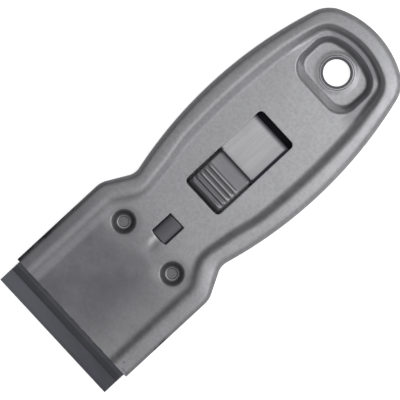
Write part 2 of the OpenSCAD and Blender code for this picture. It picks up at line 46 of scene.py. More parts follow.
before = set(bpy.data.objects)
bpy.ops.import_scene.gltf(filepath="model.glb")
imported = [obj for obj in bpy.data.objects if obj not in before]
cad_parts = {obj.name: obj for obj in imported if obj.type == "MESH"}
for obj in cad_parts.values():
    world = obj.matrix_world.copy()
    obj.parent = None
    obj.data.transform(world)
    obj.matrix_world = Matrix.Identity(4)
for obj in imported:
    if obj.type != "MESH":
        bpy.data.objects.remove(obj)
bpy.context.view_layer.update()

MM = 0.001

# Sizes in millimetres and angles in radians. Places along Y are from the mouth, as the tool is drawn.
BODY_L = 103.2
HOLDER_W = 39.6
NECK_W = 31.1
HANDLE_W = 38.6
WIDEST_Y = 64.7
SHOULDER_Y = 28.0
SHOULDER_A = math.radians(28.5)
RIM_RADII = (6.0, 4.5, 8.5, 24.0)
RIM_WIDTHS = {"holder": 6.4, "neck": 5.9, "side": 6.9, "end": 5.6}
PANEL_SHOULDER_R = 3.0
PANEL_CORNER_R = 4.0
SHEET = 0.6
PANEL_Z = 6.0
BEAD_Z = 7.4
SLOPE_W = 3.1
VALLEY = 0.75
EDGE_Y = -6.7
MIDDLE_Y = (BODY_L + EDGE_Y) / 2

# Where the rim changes along Y: at the neck, and toward the far end
NECK_ZONE = (26, 34)
END_ZONE = (88, 98)

# Steps along one side of the plan, on its two straight parts and its five arcs, and round turned parts
STRAIGHT_STEPS = (12, 8)
ARC_STEPS = (8, 16, 48, 14, 16)
DIMPLE_STEPS = 56
TURN_STEPS = 64
MOUTH_CUTS = 47

# Places closer than this are taken as one
TOUCH = 0.001

SLOT_Y = 43.5
SLOT_L = 25.9
SLOT_W = 12.1
SLOT_R = 1.2
WINDOW_Y = 29.3
WINDOW_L = 6.2
WINDOW_W = 5.0
WINDOW_BOW = 0.4
HOLE_Y = 89.4
HOLE_R = 3.4
EYELET_T = 0.5
POCKET_W = 15.4
POCKET_L = 10.5
POCKET_FROM_END = 8.6
POCKET_R = 3.3
POCKET_FLOOR_Z = 1.8
RIVET_X = 8.8
RIVET_Y = 25.6
SPRING_TOP_Z = 4.7
SPRING_END_Y = 67.2
SPRING_REACH = 0.5
BUTTON_Y = 43.74
BUTTON_L = 12.0
BUTTON_W = 11.1
BUTTON_Z = 7.9
RIBS = 5
RIB_FIRST = 1.42
RIB_PITCH = 1.4


def point(x, y, z):
    """A place given in millimetres from the mouth, as a vector in the frame, in metres."""
    return Vector((x, y - MIDDLE_Y, z)) * MM


def turned(centre, radius, angle):
    """The place at an angle and a radius round a centre."""
    return Vector((centre[0] + radius * math.cos(angle), centre[1] + radius * math.sin(angle)))


def heading(a, b):
    """The angle from a to b."""
    return math.atan2(b[1] - a[1], b[0] - a[0])


def between(value, low, high):
    """How far a value lies from low to high, eased at both ends."""
    t = min(1.0, max(0.0, (value - low) / (high - low)))
    return t * t * (3 - 2 * t)


def eased(t, soft):
    """Fall along a slope that starts and ends level: 0 at t 0, 1 at t 1, rounded over soft at each end."""
    t = min(1.0, max(0.0, t))
    if t < soft:
        return t * t / (2 * soft * (1 - soft))
    if t > 1 - soft:
        return 1 - (1 - t) ** 2 / (2 * soft * (1 - soft))
    return (t - soft / 2) / (1 - soft)


def land(y):
    """Height of the shell's panel: it dips beside and behind the hanging pocket."""
    return PANEL_Z - VALLEY * between(y, 83.5, 91.5)


def outline(holder, neck, wide, corner_y, end_y, radii):
    """One side of the plan as tangent arcs, each with its centre, radius, first and last angle, and bend."""
    shoulder_r, neck_r, corner_r, end_r = radii
    slant = SHOULDER_A
    neck_y = corner_y + (holder - neck) / math.tan(slant)
    rise = WIDEST_Y - neck_y
    side_r = (rise**2 + (wide - neck) ** 2) / (2 * (wide - neck))
    side_c = Vector((wide - side_r, WIDEST_Y))
    inward = Vector((-math.cos(slant), -math.sin(slant)))
    along = Vector((-math.sin(slant), math.cos(slant)))
    shoulder_c = Vector((holder - shoulder_r, corner_y - shoulder_r * math.tan(slant / 2)))
    corner = Vector((holder, corner_y)) - neck_r * inward
    off = corner - side_c
    half_b = off.dot(along)
    neck_c = corner + along * (-half_b - math.sqrt(half_b**2 - off.dot(off) + (side_r + neck_r) ** 2))
    end_c = Vector((0.0, end_y - end_r))
    gap = end_c - side_c
    span = gap.length
    near = ((side_r - corner_r) ** 2 - (end_r - corner_r) ** 2 + span**2) / (2 * span)
    height = math.sqrt((side_r - corner_r) ** 2 - near**2)
    corner_c = side_c + near * gap / span + height * Vector((-gap.y, gap.x)) / span
    to_neck = heading(side_c, neck_c)
    to_corner = heading(side_c, corner_c)
    from_corner = heading(end_c, corner_c)
    return [
        (shoulder_c, shoulder_r, 0.0, slant, 1),
        (neck_c, neck_r, math.pi + slant, math.pi + to_neck, -1),
        (side_c, side_r, to_neck, to_corner, 1),
        (corner_c, corner_r, to_corner, from_corner, 1),
        (end_c, end_r, from_corner, math.pi / 2, 1),
    ]


def stations(arcs):
    """Points along one side of an outline, from the mouth to the far end, each with its outward normal."""
    places = []
    for k, (centre, radius, first, last, bend) in enumerate(arcs):
        start = turned(centre, radius, first)
        normal = bend * Vector((math.cos(first), math.sin(first)))
        if k < 2:
            before = places[-1][0] if places else Vector((start.x, 0.0))
            steps = STRAIGHT_STEPS[k]
            places += [(before.lerp(start, i / steps), normal) for i in range(1 if k else 0, steps)]
        for i in range(0 if k < 2 else 1, ARC_STEPS[k] + 1):
            angle = first + (last - first) * i / ARC_STEPS[k]
            normal = bend * Vector((math.cos(angle), math.sin(angle)))
            places.append((turned(centre, radius, angle), normal))
    return places


def both_sides(half):
    """A row of points from the mouth's right corner round the far end to the mouth's left corner."""
    return half + [Vector((-p.x, p.y, p.z)) for p in reversed(half[:-1])]


def straight(a, b, steps):
    """Points from a up to but without b."""
    return [Vector(a).lerp(Vector(b), i / steps) for i in range(steps)]


def arc_line(centre, radius, first, last, steps):
    """Points on an arc, from its first angle up to but without its last."""
    return [turned(centre, radius, first + (last - first) * i / steps) for i in range(steps)]


def level_row(line, z):
    """Points of a plan set at a height."""
    return [point(p.x, p.y, z) for p in line]


def ring(x, y, radius, z, steps):
    """Points of a level circle."""
    return level_row([turned((x, y), radius, math.tau * i / steps) for i in range(steps)], z)


def corner_fall(inset, radius):
    """How far a round corner falls back at an inset from its side."""
    return radius - math.sqrt(max(0.0, radius**2 - (radius - min(radius, inset)) ** 2))


def rounded_box(half_w, low_y, high_y, radius):
    """Closed outline of a rectangle with round corners, from its lower left corner anticlockwise."""
    x = half_w - radius
    low, high = low_y + radius, high_y - radius
    quarter = math.pi / 2
    return (
        arc_line((-x, low), radius, -2 * quarter, -quarter, 8)
        + straight((-x, low_y), (x, low_y), 8)
        + arc_line((x, low), radius, -quarter, 0, 8)
        + straight((half_w, low), (half_w, high), 14)
        + arc_line((x, high), radius, 0, quarter, 8)
        + straight((x, high_y), (-x, high_y), 8)
        + arc_line((-x, high), radius, quarter, 2 * quarter, 8)
        + straight((-half_w, high), (-half_w, low), 14)
    )


def pocket_line(front, side, back, radius):
    """Closed outline of the hanging pocket: straight on the blade side, round like the far end."""
    x = POCKET_W / 2 + side - radius
    end_r = RIM_RADII[3]
    low = BODY_L - POCKET_FROM_END - POCKET_L - front + radius
    centre = (0.0, BODY_L - end_r)
    reach = end_r - POCKET_FROM_END + back - radius
    high = centre[1] + math.sqrt(reach**2 - x**2)
    corner_a = heading(centre, (x, high))
    right = (
        straight((0.0, low - radius), (x, low - radius), 7)
        + arc_line((x, low), radius, -math.pi / 2, 0, 10)
        + straight((x + radius, low), (x + radius, high), 4)
        + arc_line((x, high), radius, 0, corner_a, 10)
        + arc_line(centre, reach + radius, corner_a, math.pi / 2, 12)
    )
    top = Vector((0.0, centre[1] + reach + radius))
    left = [Vector((-p.x, p.y)) for p in reversed(right[1:])]
    return right + [top] + left


def window_line(side, low, high):
    """Closed outline of the latch window, grown by the given amounts, bowed on the blade side."""
    half_w = WINDOW_W / 2 + side
    low_y = WINDOW_Y - low
    high_y = WINDOW_Y + WINDOW_L + high
    bottom = [
        Vector((t * half_w, low_y - WINDOW_BOW * (1 - t * t))) for t in [i / 6 - 1 for i in range(12)]
    ]
    return (
        bottom
        + straight((half_w, low_y), (half_w, high_y), 8)
        + straight((half_w, high_y), (-half_w, high_y), 12)
        + straight((-half_w, high_y), (-half_w, low_y), 8)
    )


def start_piece(name):
    """Starts a new, empty piece at the origin and leaves it in edit mode."""
    bpy.ops.object.select_all(action="DESELECT")
    bpy.ops.object.add(type="MESH", enter_editmode=True, location=(0, 0, 0))
    piece = bpy.context.edit_object
    piece.name = name
    piece.data.name = name
    bmesh.from_edit_mesh(piece.data).verts.layers.int.new("place")
    return piece


def skin(rows, closed=True):
    """Adds a loop of edges at the first row to the piece being edited and extrudes it to each next row."""
    count = len(rows[0])
    bpy.ops.mesh.select_all(action="DESELECT")
    bpy.ops.mesh.primitive_circle_add(vertices=count, radius=MM, fill_type="NOTHING")
    data = bpy.context.edit_object.data
    mesh = bmesh.from_edit_mesh(data)
    place = mesh.verts.layers.int["place"]
    for i, vert in enumerate([v for v in mesh.verts if v.select]):
        vert[place] = i
        vert.co = rows[0][i]
    if not closed:
        last = [e for e in mesh.edges if e.select and abs(e.verts[0][place] - e.verts[1][place]) > 1]
        bmesh.ops.delete(mesh, geom=last, context="EDGES")
    bmesh.update_edit_mesh(data)
    for row in rows[1:]:
        bpy.ops.mesh.extrude_edges_move()
        mesh = bmesh.from_edit_mesh(data)
        place = mesh.verts.layers.int["place"]
        for vert in mesh.verts:
            if vert.select:
                vert.co = row[vert[place]]
        bmesh.update_edit_mesh(data)


def select_edges(wanted):
    """Selects the edges of the piece being edited for which wanted says yes, and nothing else."""
    bpy.ops.mesh.select_mode(type="EDGE")
    bpy.ops.mesh.select_all(action="DESELECT")
    data = bpy.context.edit_object.data
    mesh = bmesh.from_edit_mesh(data)
    for edge in mesh.edges:
        if wanted(edge):
            edge.select_set(True)
    mesh.select_flush(True)
    bmesh.update_edit_mesh(data)


def close_up(sheet=False):
    """Merges what meets and turns all faces outwards, which is up for an open sheet."""
    bpy.ops.mesh.select_mode(type="VERT")
    bpy.ops.mesh.select_all(action="SELECT")
    bpy.ops.mesh.remove_doubles(threshold=TOUCH * MM)
    bpy.ops.mesh.normals_make_consistent(inside=False)
    data = bpy.context.edit_object.data
    mesh = bmesh.from_edit_mesh(data)
    if sheet and sum(f.normal.z * f.calc_area() for f in mesh.faces) < 0:
        bpy.ops.mesh.flip_normals()
    layer = mesh.verts.layers.int.get("place")
    if layer:
        mesh.verts.layers.int.remove(layer)
    bmesh.update_edit_mesh(data)


def cap_ends():
    """Closes every open end of the piece being edited with one flat face."""
    select_edges(lambda edge: edge.is_boundary)
    bpy.ops.mesh.edge_face_add()


def apply_modifier(piece, name, kind, **settings):
    """Adds a modifier with its settings and applies it."""
    modifier = piece.modifiers.new(name, kind)
    for key, value in settings.items():
        setattr(modifier, key, value)
    bpy.ops.object.modifier_apply(modifier=modifier.name)


def finish_piece(piece, body, materials, nodes, wall=0.0, bevel=0.0):
    """Gives a piece its wall, edges, shading, finishes and place in the frame.

    The last finish, where there are more, goes on the inner side of the wall or on the broken edges. A rigid
    piece with broken edges keeps level shading on its flat faces.
    """
    bpy.ops.object.mode_set(mode="OBJECT")
    if not piece.data.materials:
        for material in materials:
            piece.data.materials.append(material)
    last = len(materials) - 1
    if wall:
        apply_modifier(
            piece, "Wall", "SOLIDIFY", thickness=wall * MM, offset=-1, use_even_offset=False,
            material_offset=last,
        )
    if bevel:
        apply_modifier(
            piece, "Edges", "BEVEL", width=bevel * MM, segments=2, limit_method="ANGLE",
            angle_limit=math.radians(30), material=last,
        )
    bpy.ops.object.shade_smooth_by_angle(angle=math.radians(20 if bevel else 35))
    if bevel and body:
        apply_modifier(piece, "Level faces", "WEIGHTED_NORMAL", weight=100, keep_sharp=True)
    if body:
        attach(piece, body)
    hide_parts(*nodes)
    piece.select_set(False)


def copy_of(node, name):
    """A copy of a node's mesh with its doubles merged and its flat faces joined, in edit mode."""
    bpy.ops.object.select_all(action="DESELECT")
    piece = bpy.data.objects.new(name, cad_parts[node].data.copy())
    piece.data.name = name
    piece.data.materials.clear()
    bpy.context.collection.objects.link(piece)
    bpy.context.view_layer.objects.active = piece
    piece.select_set(True)
    bpy.ops.object.mode_set(mode="EDIT")
    bpy.ops.mesh.select_all(action="SELECT")
    bpy.ops.mesh.remove_doubles(threshold=TOUCH * MM)
    bpy.ops.mesh.dissolve_limited(angle_limit=math.radians(0.5))
    return piece


# Materials: nodes, the shared effects, which are groups that put out masks or values, and the steels


def new_group(name, inputs, outputs):
    """An empty group, the outputs that bring in its named inputs, and the node that takes its results."""
    group = bpy.data.node_groups.new(name, "ShaderNodeTree")
    for label, kind, default in inputs:
        socket = group.interface.new_socket(label, in_out="INPUT", socket_type=kind)
        if default is not None:
            socket.default_value = default
    for label in outputs:
        group.interface.new_socket(label, in_out="OUTPUT", socket_type="NodeSocketFloat")
    return group, group.nodes.new("NodeGroupInput").outputs, group.nodes.new("NodeGroupOutput")


def fill(tree, node, sockets):
    """Sets a node's inputs, by name or number, to values, or links them to outputs."""
    for key, value in sockets.items():
        if isinstance(value, bpy.types.NodeSocket):
            tree.links.new(value, node.inputs[key])
        else:
            node.inputs[key].default_value = value


def add(tree, kind, sockets=None, **values):
    """Adds a node with its properties and fills its inputs."""
    node = tree.nodes.new(kind)
    for key, value in values.items():
        setattr(node, key, value)
    fill(tree, node, sockets or {})
    return node


def math_node(tree, operation, a, b=0.0):
    """Two values or numbers put together."""
    return add(tree, "ShaderNodeMath", {0: a, 1: b}, operation=operation).outputs[0]


def vector_node(tree, operation, *vectors):
    """Vectors put together, as the outputs of the node that does it."""
    return add(tree, "ShaderNodeVectorMath", dict(enumerate(vectors)), operation=operation).outputs


def noise(tree, where, scale, detail, roughness=0.5):
    """Cloudy noise over a place."""
    sockets = {"Vector": where, "Scale": scale, "Detail": detail, "Roughness": roughness}
    return add(tree, "ShaderNodeTexNoise", sockets).outputs["Fac"]


def grain_group():
    """Brushed grain: fine streaks that run along the axis whose scale is small."""
    group, source, sink = new_group(
        "Brushed grain",
        [("Vector", "NodeSocketVector", None), ("Scale", "NodeSocketVector", (100, 2000, 100))],
        ["Value"],
    )
    scaled = vector_node(group, "MULTIPLY", source["Vector"], source["Scale"])[0]
    fine = noise(group, scaled, 1.0, 3.0, 0.6)
    broad = noise(group, scaled, 0.27, 2.0)
    mixed = add(group, "ShaderNodeMix", {"Factor": 0.35, "A": fine, "B": broad})
    fill(group, sink, {"Value": mixed.outputs["Result"]})
    return group


def patina_group():
    """Uneven toning and small dark specks of handled steel."""
    group, source, sink = new_group(
        "Patina",
        [("Vector", "NodeSocketVector", None), ("Scale", "NodeSocketFloat", 90.0)],
        ["Cloud", "Specks"],
    )
    where = source["Vector"]
    cloud = noise(group, where, source["Scale"], 4.0, 0.62)
    sparse = math_node(group, "MULTIPLY", noise(group, where, 900.0, 2.0), noise(group, where, 110.0, 1.0))
    specks = add(group, "ShaderNodeMapRange", {"Value": sparse, "From Min": 0.40, "From Max": 0.50})
    fill(group, sink, {"Cloud": cloud, "Specks": specks.outputs["Result"]})
    return group


EFFECTS = {}


def place_effect(tree, maker, vector, **sockets):
    """Outputs of the shared group that a maker makes, which is made the first time it is asked for."""
    if maker not in EFFECTS:
        EFFECTS[maker] = maker()
    return add(tree, "ShaderNodeGroup", {"Vector": vector, **sockets}, node_tree=EFFECTS[maker]).outputs


def ranged(tree, value, low, high, to_low, to_high):
    """A value mapped from one range to another, smoothly and clamped."""
    sockets = {"Value": value, "From Min": low, "From Max": high, "To Min": to_low, "To Max": to_high}
    return add(tree, "ShaderNodeMapRange", sockets, interpolation_type="SMOOTHSTEP").outputs["Result"]


def joined(tree, operation, *masks):
    """Two or more masks put together, one after another."""
    whole = masks[0]
    for mask in masks[1:]:
        whole = math_node(tree, operation, whole, mask)
    return whole


def tinted(tree, base, factor, colour):
    """base turned into colour where factor is 1."""
    start = (*base, 1.0) if isinstance(base, tuple) else base
    sockets = {"Factor": factor, "A": start, "B": (*colour, 1.0)}
    return add(tree, "ShaderNodeMix", sockets, data_type="RGBA").outputs["Result"]


def shaded(colour, by):
    """A colour made darker or lighter."""
    return tuple(c * by for c in colour)


def axes(tree, where):
    """The X, Y and Z of a place, and its distance to the side, by name."""
    parts = add(tree, "ShaderNodeSeparateXYZ", {0: where}).outputs
    at = {axis: parts[axis.upper()] for axis in "xyz"}
    at["side"] = math_node(tree, "ABSOLUTE", at["x"])
    return at


def area(tree, at, *ramps):
    """A mask made of ramps, each with its axis, its two ends in millimetres and its value at each end."""
    return joined(tree, "MULTIPLY", *[
        ranged(tree, at[axis], low * MM, high * MM, first, last) for axis, low, high, first, last in ramps
    ])


def distance(tree, where, centre, radii=(1.0, 1.0)):
    """How far a place lies from an upright axis, in metres, shrunk by the radii, which are for X and Y."""
    off = vector_node(tree, "SUBTRACT", where, (centre[0] * MM, centre[1] * MM, 0.0))[0]
    flat = vector_node(tree, "MULTIPLY", off, (1 / radii[0], 1 / radii[1], 0.0))[0]
    return vector_node(tree, "LENGTH", flat)["Value"]


def round_mask(tree, where, centre, near, far, strength, radii=(1.0, 1.0)):
    """A round mask: strength out to near and nothing from far, in millimetres from its centre."""
    reach = distance(tree, where, centre, radii)
    return ranged(tree, reach, near * MM, far * MM, strength, 0.0)


# Scales of the grain along X, Y and Z, in streaks a metre
GRAIN_ACROSS = (450.0, 2000.0, 450.0)
GRAIN_ALONG = (2600.0, 90.0, 300.0)
GRAIN_NONE = (500.0, 500.0, 500.0)
GRAIN_BLADE = (40.0, 900.0, 40.0)
GRAIN_SMALL = (400.0, 400.0, 400.0)

# Dark tone for real patina and mottle, and also for painted shade
GRIME_AND_SHADE = (0.10, 0.10, 0.11)


def new_material(name):
    """A material with its tree, its shader and the place on the object, in metres."""
    material = bpy.data.materials.new(name)
    material.use_nodes = True
    tree = material.node_tree
    where = add(tree, "ShaderNodeTexCoord").outputs["Object"]
    return material, tree, tree.nodes["Principled BSDF"], where


def steel(name, colour, rough, grain, metallic=0.75, spread=0.10, bump=0.004, extra=None):
    """Brushed steel. extra is a function that tones it further, and bump the height of its grain."""
    material, tree, shader, where = new_material(name)
    streaks = place_effect(tree, grain_group, where, Scale=grain)["Value"]
    patina = place_effect(tree, patina_group, where)
    dark, light = shaded(colour, 1 - spread), shaded(colour, 1 + spread)
    tone = tinted(tree, dark, ranged(tree, streaks, 0.25, 0.75, 0.0, 1.0), light)
    tone = tinted(tree, tone, ranged(tree, patina["Cloud"], 0.35, 0.75, 0.0, 0.5), shaded(colour, 0.86))
    if extra:
        tone = extra(tree, where, patina, tone)
    relief = add(tree, "ShaderNodeBump", {"Height": streaks, "Strength": 0.35, "Distance": bump * MM})
    fill(tree, shader, {
        "Base Color": tone,
        "Metallic": metallic,
        "Roughness": ranged(tree, streaks, 0.2, 0.8, rough - 0.06, rough + 0.08),
        "Normal": relief.outputs["Normal"],
    })
    return material


def inner_shade_steel():
    """Painted shade: dull near-black steel on the shells' and the button's inner sides, which lie in shade.
    """
    name = "Painted shade inner steel"
    made = bpy.data.materials.get(name)
    return made or steel(name, (0.016, 0.015, 0.022), 0.6, GRAIN_ACROSS, metallic=0.5, spread=0.15)


def worn_steel():
    """Brighter steel of broken edges, where handling has rubbed them."""
    name = "Worn edge steel"
    made = bpy.data.materials.get(name)
    return made or steel(name, (0.34, 0.34, 0.35), 0.38, GRAIN_ACROSS, spread=0.15)


def rivet_highlight_and_shade(tree, where, patina, tone):
    """Grey middle of a rivet's head, with painted shade in its pressed groove and round its edge and a
    painted highlight on its ring, the same on both sides.
    """
    at = axes(tree, where)
    middle = RIVET_Y - MIDDLE_Y
    mirrored = add(tree, "ShaderNodeCombineXYZ", {"X": at["side"], "Y": at["y"]}).outputs[0]
    at["reach"] = distance(tree, mirrored, (RIVET_X, middle))
    # Painted highlight on the ring, stronger on the blade side
    ring = area(tree, at, ("reach", 1.36, 1.46, 0.0, 1.0), ("y", middle - 1.6, middle + 1.0, 0.9, 0.2))
    tone = tinted(tree, tone, ring, (0.46, 0.46, 0.47))
    # Painted shade in the pressed groove
    groove = area(tree, at, ("reach", 1.18, 1.28, 0.0, 0.8), ("reach", 1.36, 1.46, 1.0, 0.0))
    tone = tinted(tree, tone, groove, (0.05, 0.05, 0.055))
    # Painted shade round the head's outer edge
    return tinted(tree, tone, area(tree, at, ("reach", 1.76, 1.83, 0.0, 0.8)), (0.06, 0.06, 0.07))


def eyelet_edge_shade(tree, where, patina, tone):
    """Painted shade on the rolled edge at the hole, in a flange as pale as the shell."""
    edge = round_mask(tree, where, (0.0, HOLE_Y - MIDDLE_Y), 3.9, 4.2, 0.9)
    return tinted(tree, tone, edge, (0.05, 0.05, 0.058))


def blade_tints_and_shade(tree, where, patina, tone):
    """Oil tints on the blade, and painted shade that makes it a little darker toward the right."""
    at = axes(tree, where)
    cloud = patina["Cloud"]
    # Painted shade: the flat blade darker toward the right
    tone = tinted(tree, tone, area(tree, at, ("x", -16, 16, 0.0, 0.85)), (0.058, 0.059, 0.07))
    tone = tinted(tree, tone, ranged(tree, cloud, 0.45, 0.62, 0.0, 0.3), (0.10, 0.088, 0.13))
    return tinted(tree, tone, ranged(tree, cloud, 0.50, 0.38, 0.0, 0.25), (0.078, 0.10, 0.096))


def clamp_mottle_and_shade(tree, where, patina, tone):
    """Mottled clamp, with painted shade on its sloping front edge."""
    at = axes(tree, where)
    mottled = ranged(tree, patina["Cloud"], 0.42, 0.6, 0.0, 0.7)
    tone = tinted(tree, tone, mottled, (0.13, 0.13, 0.15))
    # Painted shade on the front slope, which faces away from the light
    return tinted(tree, tone, area(tree, at, ("y", -49.6, -49.2, 0.75, 0.0)), (0.048, 0.049, 0.056))


def recess_shade_mask(tree, at):
    """Painted shade on the shell: in the pocket and behind it, in the dimples and at the foot of the rim."""
    walls = area(tree, at, ("z", 3.8, 6.0, 0.72, 0.0), ("z", 1.9, 2.35, 0.0, 1.0), ("y", 34.5, 40, 0.1, 1.0))
    ledge = area(tree, at, ("y", 45.5, 47.5, 0.0, 0.6), ("z", 4.6, 5.2, 0.0, 1.0), ("z", 5.8, 6.4, 1.0, 0.0))
    beside = area(tree, at, ("x", 8.6, 9.6, 0.0, 0.45), ("y", 32, 37, 0.0, 1.0), ("z", 6.0, 6.4, 1.0, 0.0))
    near_hole = area(
        tree, at, ("side", 12.2, 13.2, 1.0, 0.0), ("y", 31, 32, 0.0, 1.0), ("y", 49.5, 50.8, 1.0, 0.0),
        ("hole", 5.0, 5.4, 0.0, 1.0),
    )
    pocket = joined(tree, "MULTIPLY", joined(tree, "MAXIMUM", walls, ledge, beside), near_hole)
    dimples = area(
        tree, at, ("z", 4.4, 5.8, 0.32, 0.0), ("side", 12.2, 13.2, 1.0, 0.0), ("y", -14, -12, 1.0, 0.0)
    )
    foot = area(
        tree, at, ("z", 6.003, 6.05, 0.0, 0.45), ("z", 6.12, 6.6, 1.0, 0.0), ("x", -2, 2, 1.0, 0.1),
        ("y", -20, -6, 0.15, 1.0),
    )
    return joined(tree, "MAXIMUM", foot, pocket, dimples)


def holder_patina_and_shade_mask(tree, at, cloud):
    """Mottled patina over the holder, with painted shade: thinner to the right, on the rim and on the slopes
    beside the panel, full on the left outer bead.
    """
    mottled = ranged(tree, cloud, 0.3, 0.7, 0.76, 1.0)
    raised = area(tree, at, ("z", 6.1, 6.6, 1.0, 0.72))
    outer_left = area(tree, at, ("x", -16.8, -15.8, 1.0, 0.0))
    left_slope = area(tree, at, ("x", -16.4, -15.4, 0.0, 0.38), ("x", -12.8, -11.8, 1.0, 0.0))
    right_slope = area(tree, at, ("x", 12.2, 13.6, 0.0, 0.35), ("x", 15.8, 16.8, 1.0, 0.0))
    slopes = math_node(tree, "ADD", left_slope, right_slope)
    return joined(
        tree, "MULTIPLY", area(tree, at, ("y", -33, -11, 1.0, 0.0), ("x", 0, 13, 0.85, 0.50)), mottled,
        math_node(tree, "MAXIMUM", raised, outer_left), math_node(tree, "SUBTRACT", 1.0, slopes),
    )


def side_shade_mask(tree, at, cloud):
    """Painted shade: uneven dark strips along the top of the holder's side walls."""
    wander = math_node(tree, "MULTIPLY", math_node(tree, "SUBTRACT", cloud, 0.5), 4.0 * MM)
    at["strip"] = math_node(tree, "ADD", at["side"], wander)
    left = area(tree, at, ("x", -1, 1, 1.0, 0.0), ("y", -31, -27, 1.0, 0.0))
    right = area(tree, at, ("y", -39.5, -38, 0.0, 1.0), ("y", -35.5, -34, 1.0, 0.0))
    top = area(tree, at, ("strip", 18.9, 19.5, 0.0, 1.0), ("z", 5.4, 6.3, 0.0, 1.0))
    return math_node(tree, "MULTIPLY", top, math_node(tree, "MAXIMUM", left, right))


def shell_tones_and_painted_light(tree, where, patina, tone):
    """Toning of the front shell: painted shade in the recesses, on the bead and toward the left and the
    blade, holder patina with painted shade, mottle, painted light on the lit pocket wall, painted highlight
    and shade round the dimples, a painted highlight at the window's dent, specks and painted shade along the
    holder's sides.
    """
    at = axes(tree, where)
    at["hole"] = distance(tree, where, (0.0, HOLE_Y - MIDDLE_Y))
    cloud = patina["Cloud"]
    lit = area(
        tree, at, ("z", 5.0, 5.8, 0.6, 0.0), ("z", 1.9, 2.35, 0.0, 1.0), ("y", 35.6, 36.6, 1.0, 0.0),
        ("y", 31, 32, 0.0, 1.0), ("side", 12.2, 13.2, 1.0, 0.0),
    )
    fine = place_effect(tree, patina_group, where, Scale=1200.0)["Cloud"]
    layers = [
        # Painted shade in the pocket, the dimples and at the rim's foot
        (recess_shade_mask(tree, at), (0.09, 0.09, 0.10)),
        (lit, (0.85, 0.85, 0.86)),
        # Painted shade: the raised bead darker along the handle
        (area(tree, at, ("z", 6.4, 7.0, 0.0, 0.28), ("y", -10, 10, 0.0, 1.0)), (0.26, 0.26, 0.27)),
        # Painted shade: darker toward the left, away from the light
        (area(tree, at, ("x", -16, 12, 0.34, 0.0)), (0.25, 0.25, 0.265)),
        # Painted shade: darker toward the blade end
        (area(tree, at, ("y", -16, 30, 0.30, 0.0)), (0.21, 0.21, 0.222)),
        # Patina over the holder, partly painted shade
        (holder_patina_and_shade_mask(tree, at, cloud), GRIME_AND_SHADE),
        (ranged(tree, fine, 0.40, 0.66, 0.0, 0.16), GRIME_AND_SHADE),
    ]
    # Painted highlight on each dimple's blade side and painted shade beyond its far side
    for x in (-RIVET_X, RIVET_X):
        y = RIVET_Y - MIDDLE_Y
        layers.append((round_mask(tree, where, (x - 2.2, y - 2.2), 0.6, 3.2, 0.26), (0.42, 0.42, 0.43)))
        layers.append((round_mask(tree, where, (x + 0.6, y + 0.6), 3.0, 4.4, 0.3), GRIME_AND_SHADE))
    # Painted highlight at the small dent beside the latch window
    dent_highlight = round_mask(tree, where, (-0.7, WINDOW_Y - 1.4 - MIDDLE_Y), 0.0, 1.4, 0.6, radii=(0.8, 1.5))
    few = area(tree, at, ("side", 10, 18, 0.1, 0.55), ("y", -22, -14, 1.0, 0.0))
    layers += [
        (dent_highlight, (0.60, 0.60, 0.60)),
        (math_node(tree, "MULTIPLY", patina["Specks"], few), (0.05, 0.05, 0.06)),
        # Painted shade along the top of the holder's side walls
        (side_shade_mask(tree, at, cloud), (0.022, 0.022, 0.028)),
    ]
    for mask, colour in layers:
        tone = tinted(tree, tone, mask, colour)
    return tone


def spring_shade_marks(tree, where, patina, tone):
    """Painted shadow on the spring's right side and painted shade beside the button, at its right edge and
    at its far end; darker steel from the button's front forward, over the latch bump.
    """
    at = axes(tree, where)
    start = BUTTON_Y - MIDDLE_Y
    end = SPRING_END_Y + SPRING_REACH - MIDDLE_Y
    beside = area(tree, at, ("side", 4.9, 5.2, 0.0, 0.97), ("y", start + 11.9, start + 12.6, 1.0, 0.0))
    right = area(tree, at, ("x", 5.1, 5.4, 0.0, 0.97))
    far = area(tree, at, ("y", end - 1.4, end - 0.1, 0.0, 0.92))
    # Painted shadow of the slot's right edge: darker toward the right
    tone = tinted(tree, tone, area(tree, at, ("x", 1.0, 5.6, 0.0, 0.3)), (0.2, 0.2, 0.21))
    # Painted shade: near black beside the button, at the right edge and at the far end
    tone = tinted(tree, tone, joined(tree, "MAXIMUM", beside, right, far), (0.012, 0.011, 0.020))
    return tinted(tree, tone, area(tree, at, ("y", start - 0.2, start + 0.3, 1.0, 0.0)), GRIME_AND_SHADE)


def button_highlights_and_shade(tree, where, patina, tone):
    """Painted highlights on the crests of the far ribs and painted shade in their valleys, and painted shade
    round the button's sides, front and far end.
    """
    at = axes(tree, where)
    start = BUTTON_Y - MIDDLE_Y
    at["ribs"] = math_node(tree, "SUBTRACT", at["y"], (start + RIB_FIRST) * MM)
    turn = math_node(tree, "MULTIPLY", at["ribs"], math.tau / (RIB_PITCH * MM))
    wave = math_node(tree, "COSINE", turn)
    # The ribs that take painted highlights on their crests and painted shade in their valleys
    rubbed = area(tree, at, ("ribs", 1.6, 2.8, 0.0, 1.0), ("ribs", 6.1, 6.6, 1.0, 0.0))
    crest = math_node(tree, "MULTIPLY", ranged(tree, wave, -0.2, 0.5, 0.0, 0.6), rubbed)
    valley = math_node(tree, "MULTIPLY", ranged(tree, wave, -0.9, -0.5, 0.5, 0.0), rubbed)
    # Painted shade round the sides, the far end and the sloping front
    edges = joined(
        tree, "MAXIMUM", area(tree, at, ("side", 4.7, 5.4, 0.0, 0.7)),
        area(tree, at, ("y", start + 10.4, start + 11.4, 0.0, 0.85)),
        area(tree, at, ("y", start + 0.3, start + 1.1, 0.85, 0.0)),
    )
    tone = tinted(tree, tone, crest, (0.46, 0.46, 0.47))
    tone = tinted(tree, tone, valley, (0.06, 0.06, 0.066))
    return tinted(tree, tone, edges, (0.045, 0.045, 0.05))


